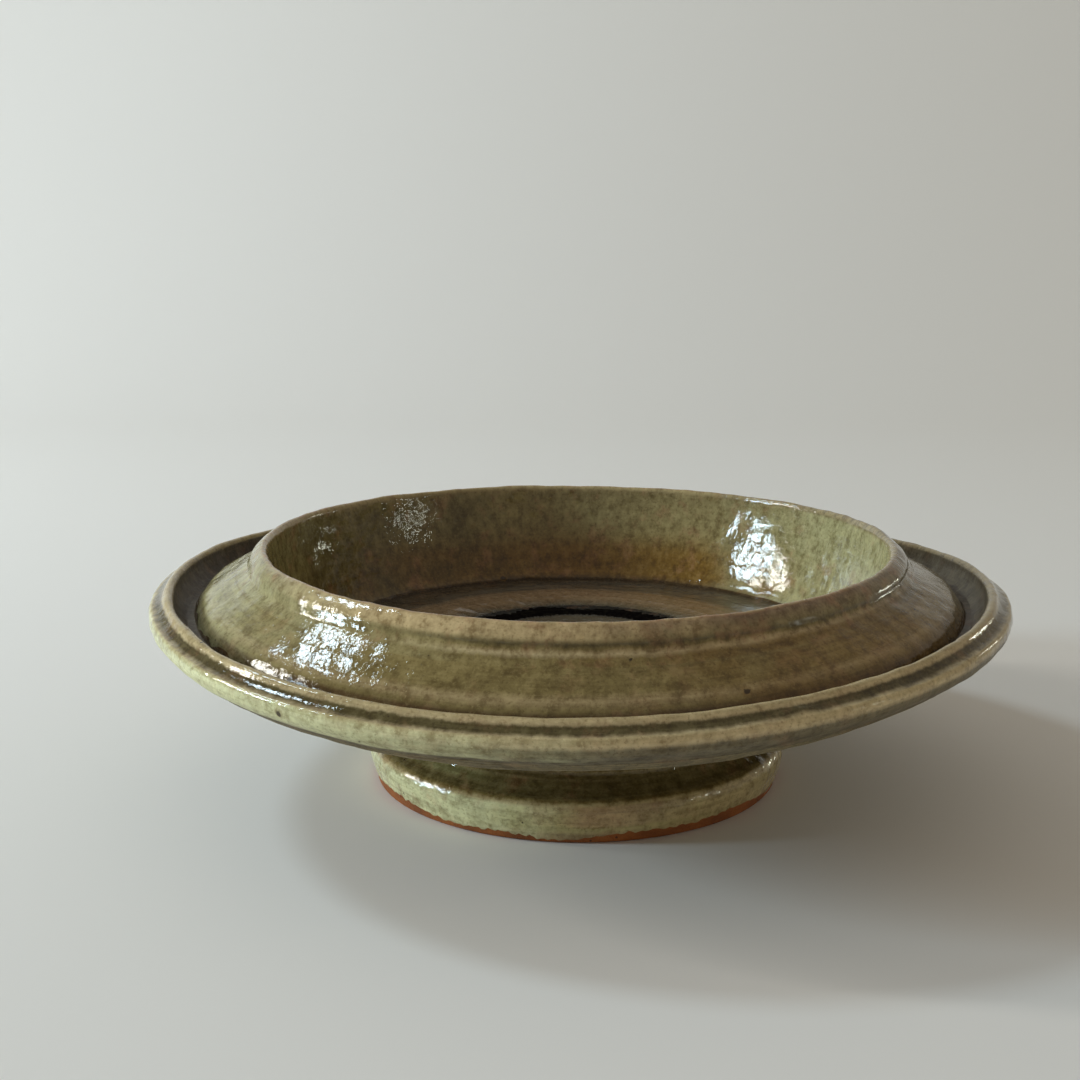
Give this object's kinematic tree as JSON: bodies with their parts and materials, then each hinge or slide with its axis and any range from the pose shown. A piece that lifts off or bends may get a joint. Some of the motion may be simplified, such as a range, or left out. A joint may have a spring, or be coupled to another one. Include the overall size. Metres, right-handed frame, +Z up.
{
  "type": "ikebana suiban",
  "caption": "Shallow round stoneware flower bowl with a wide guttered flange round its wall, standing on a waisted foot ring, for water, a pin holder and cut stems.",
  "frame": {"origin": "centre of the foot ring's base, on the surface that the bowl stands on", "axes": "+Z up along the axis that the bowl was thrown on; -Y towards the viewer of the picture, +X to the right"},
  "size_m": [0.2576, 0.2576, 0.074],
  "materials": {
    "clay": "matt fired stoneware",
    "slip": "matt fired slip",
    "ash_glaze": "glossy olive ash glaze with iron specks",
    "pooled_glaze": "glossy thick grey glaze",
    "dark_glaze": "glossy near-black glaze"
  },
  "bodies": {
    "root": {"bowl": "clay", "flange_ring": "clay", "foot_ring": "clay", "flange_slip": "slip", "foot_slip": "slip", "rim_glaze": "ash_glaze", "floor_glaze": "ash_glaze", "flange_glaze": "ash_glaze", "belly_glaze": "ash_glaze", "foot_glaze": "ash_glaze", "gutter_pool": "pooled_glaze", "center_pool": "dark_glaze"}
  },
  "joints": []
}
